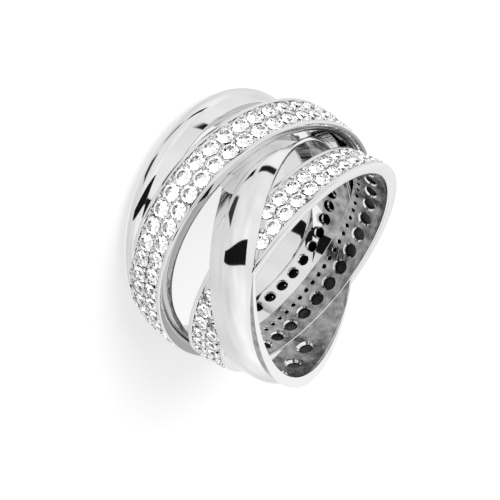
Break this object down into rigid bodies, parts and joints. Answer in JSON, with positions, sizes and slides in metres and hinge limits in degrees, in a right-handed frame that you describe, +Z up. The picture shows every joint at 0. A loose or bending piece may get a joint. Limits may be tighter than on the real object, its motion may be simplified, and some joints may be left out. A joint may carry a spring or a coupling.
{
  "type": "woven pave ring",
  "caption": "Wide finger ring of four leaning hoops woven over one another, two polished and two set with rows of small cut stones.",
  "frame": {"origin": "on the floor, below the middle of the ring's bounding box", "axes": "+Z up, the shortest way across the ring; it lies on its side, its finger hole leans 8.5 degrees from +Z toward +X and +Y, and the picture looks down into it from the -Y side, 27 degrees round toward -X"},
  "size_m": [0.022, 0.022, 0.0141],
  "materials": {
    "white_gold": "mirror polish",
    "arched_stones": "clear cut stone",
    "low_stones": "clear cut stone"
  },
  "bodies": {
    "root": {"woven_band": "white_gold", "arched_pave_stones": "arched_stones", "low_pave_stones": "low_stones"}
  },
  "joints": []
}
